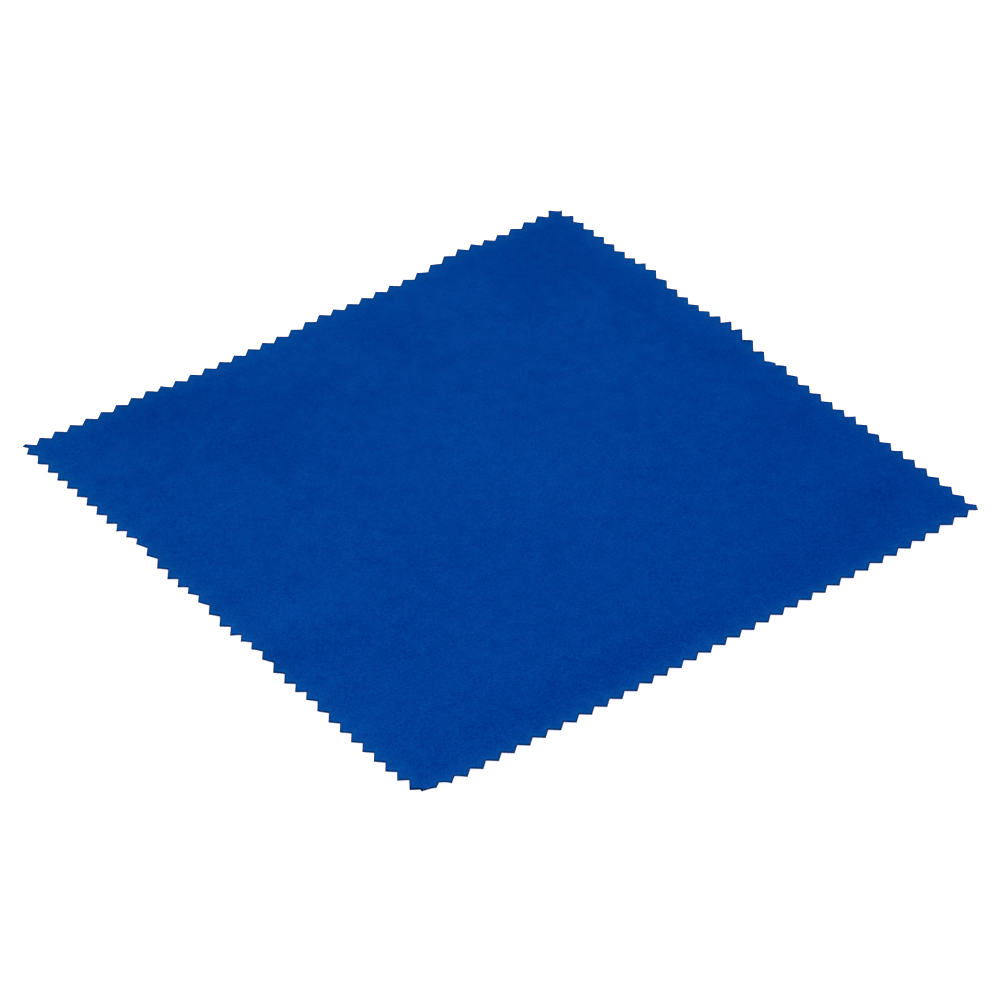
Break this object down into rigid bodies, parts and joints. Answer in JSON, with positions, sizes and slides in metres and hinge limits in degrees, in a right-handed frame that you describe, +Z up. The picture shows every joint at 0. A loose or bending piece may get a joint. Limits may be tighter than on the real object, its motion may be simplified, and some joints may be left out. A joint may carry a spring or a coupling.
{
  "type": "polishing cloth",
  "caption": "Thin, nearly square sheet of blue sueded microfibre with pinked zigzag edges, laid flat, for wiping and buffing polished surfaces.",
  "frame": {"origin": "under the middle of the cloth, on the surface it lies on (the middle of the bottom of its bounding box)", "axes": "+X along the longer pair of sides, +Y along the shorter pair, +Z up through the thickness"},
  "size_m": [0.1872, 0.1798, 0.0004],
  "materials": {
    "suede": "matte sueded nap"
  },
  "bodies": {
    "root": {"polishing_cloth": "suede"}
  },
  "joints": []
}
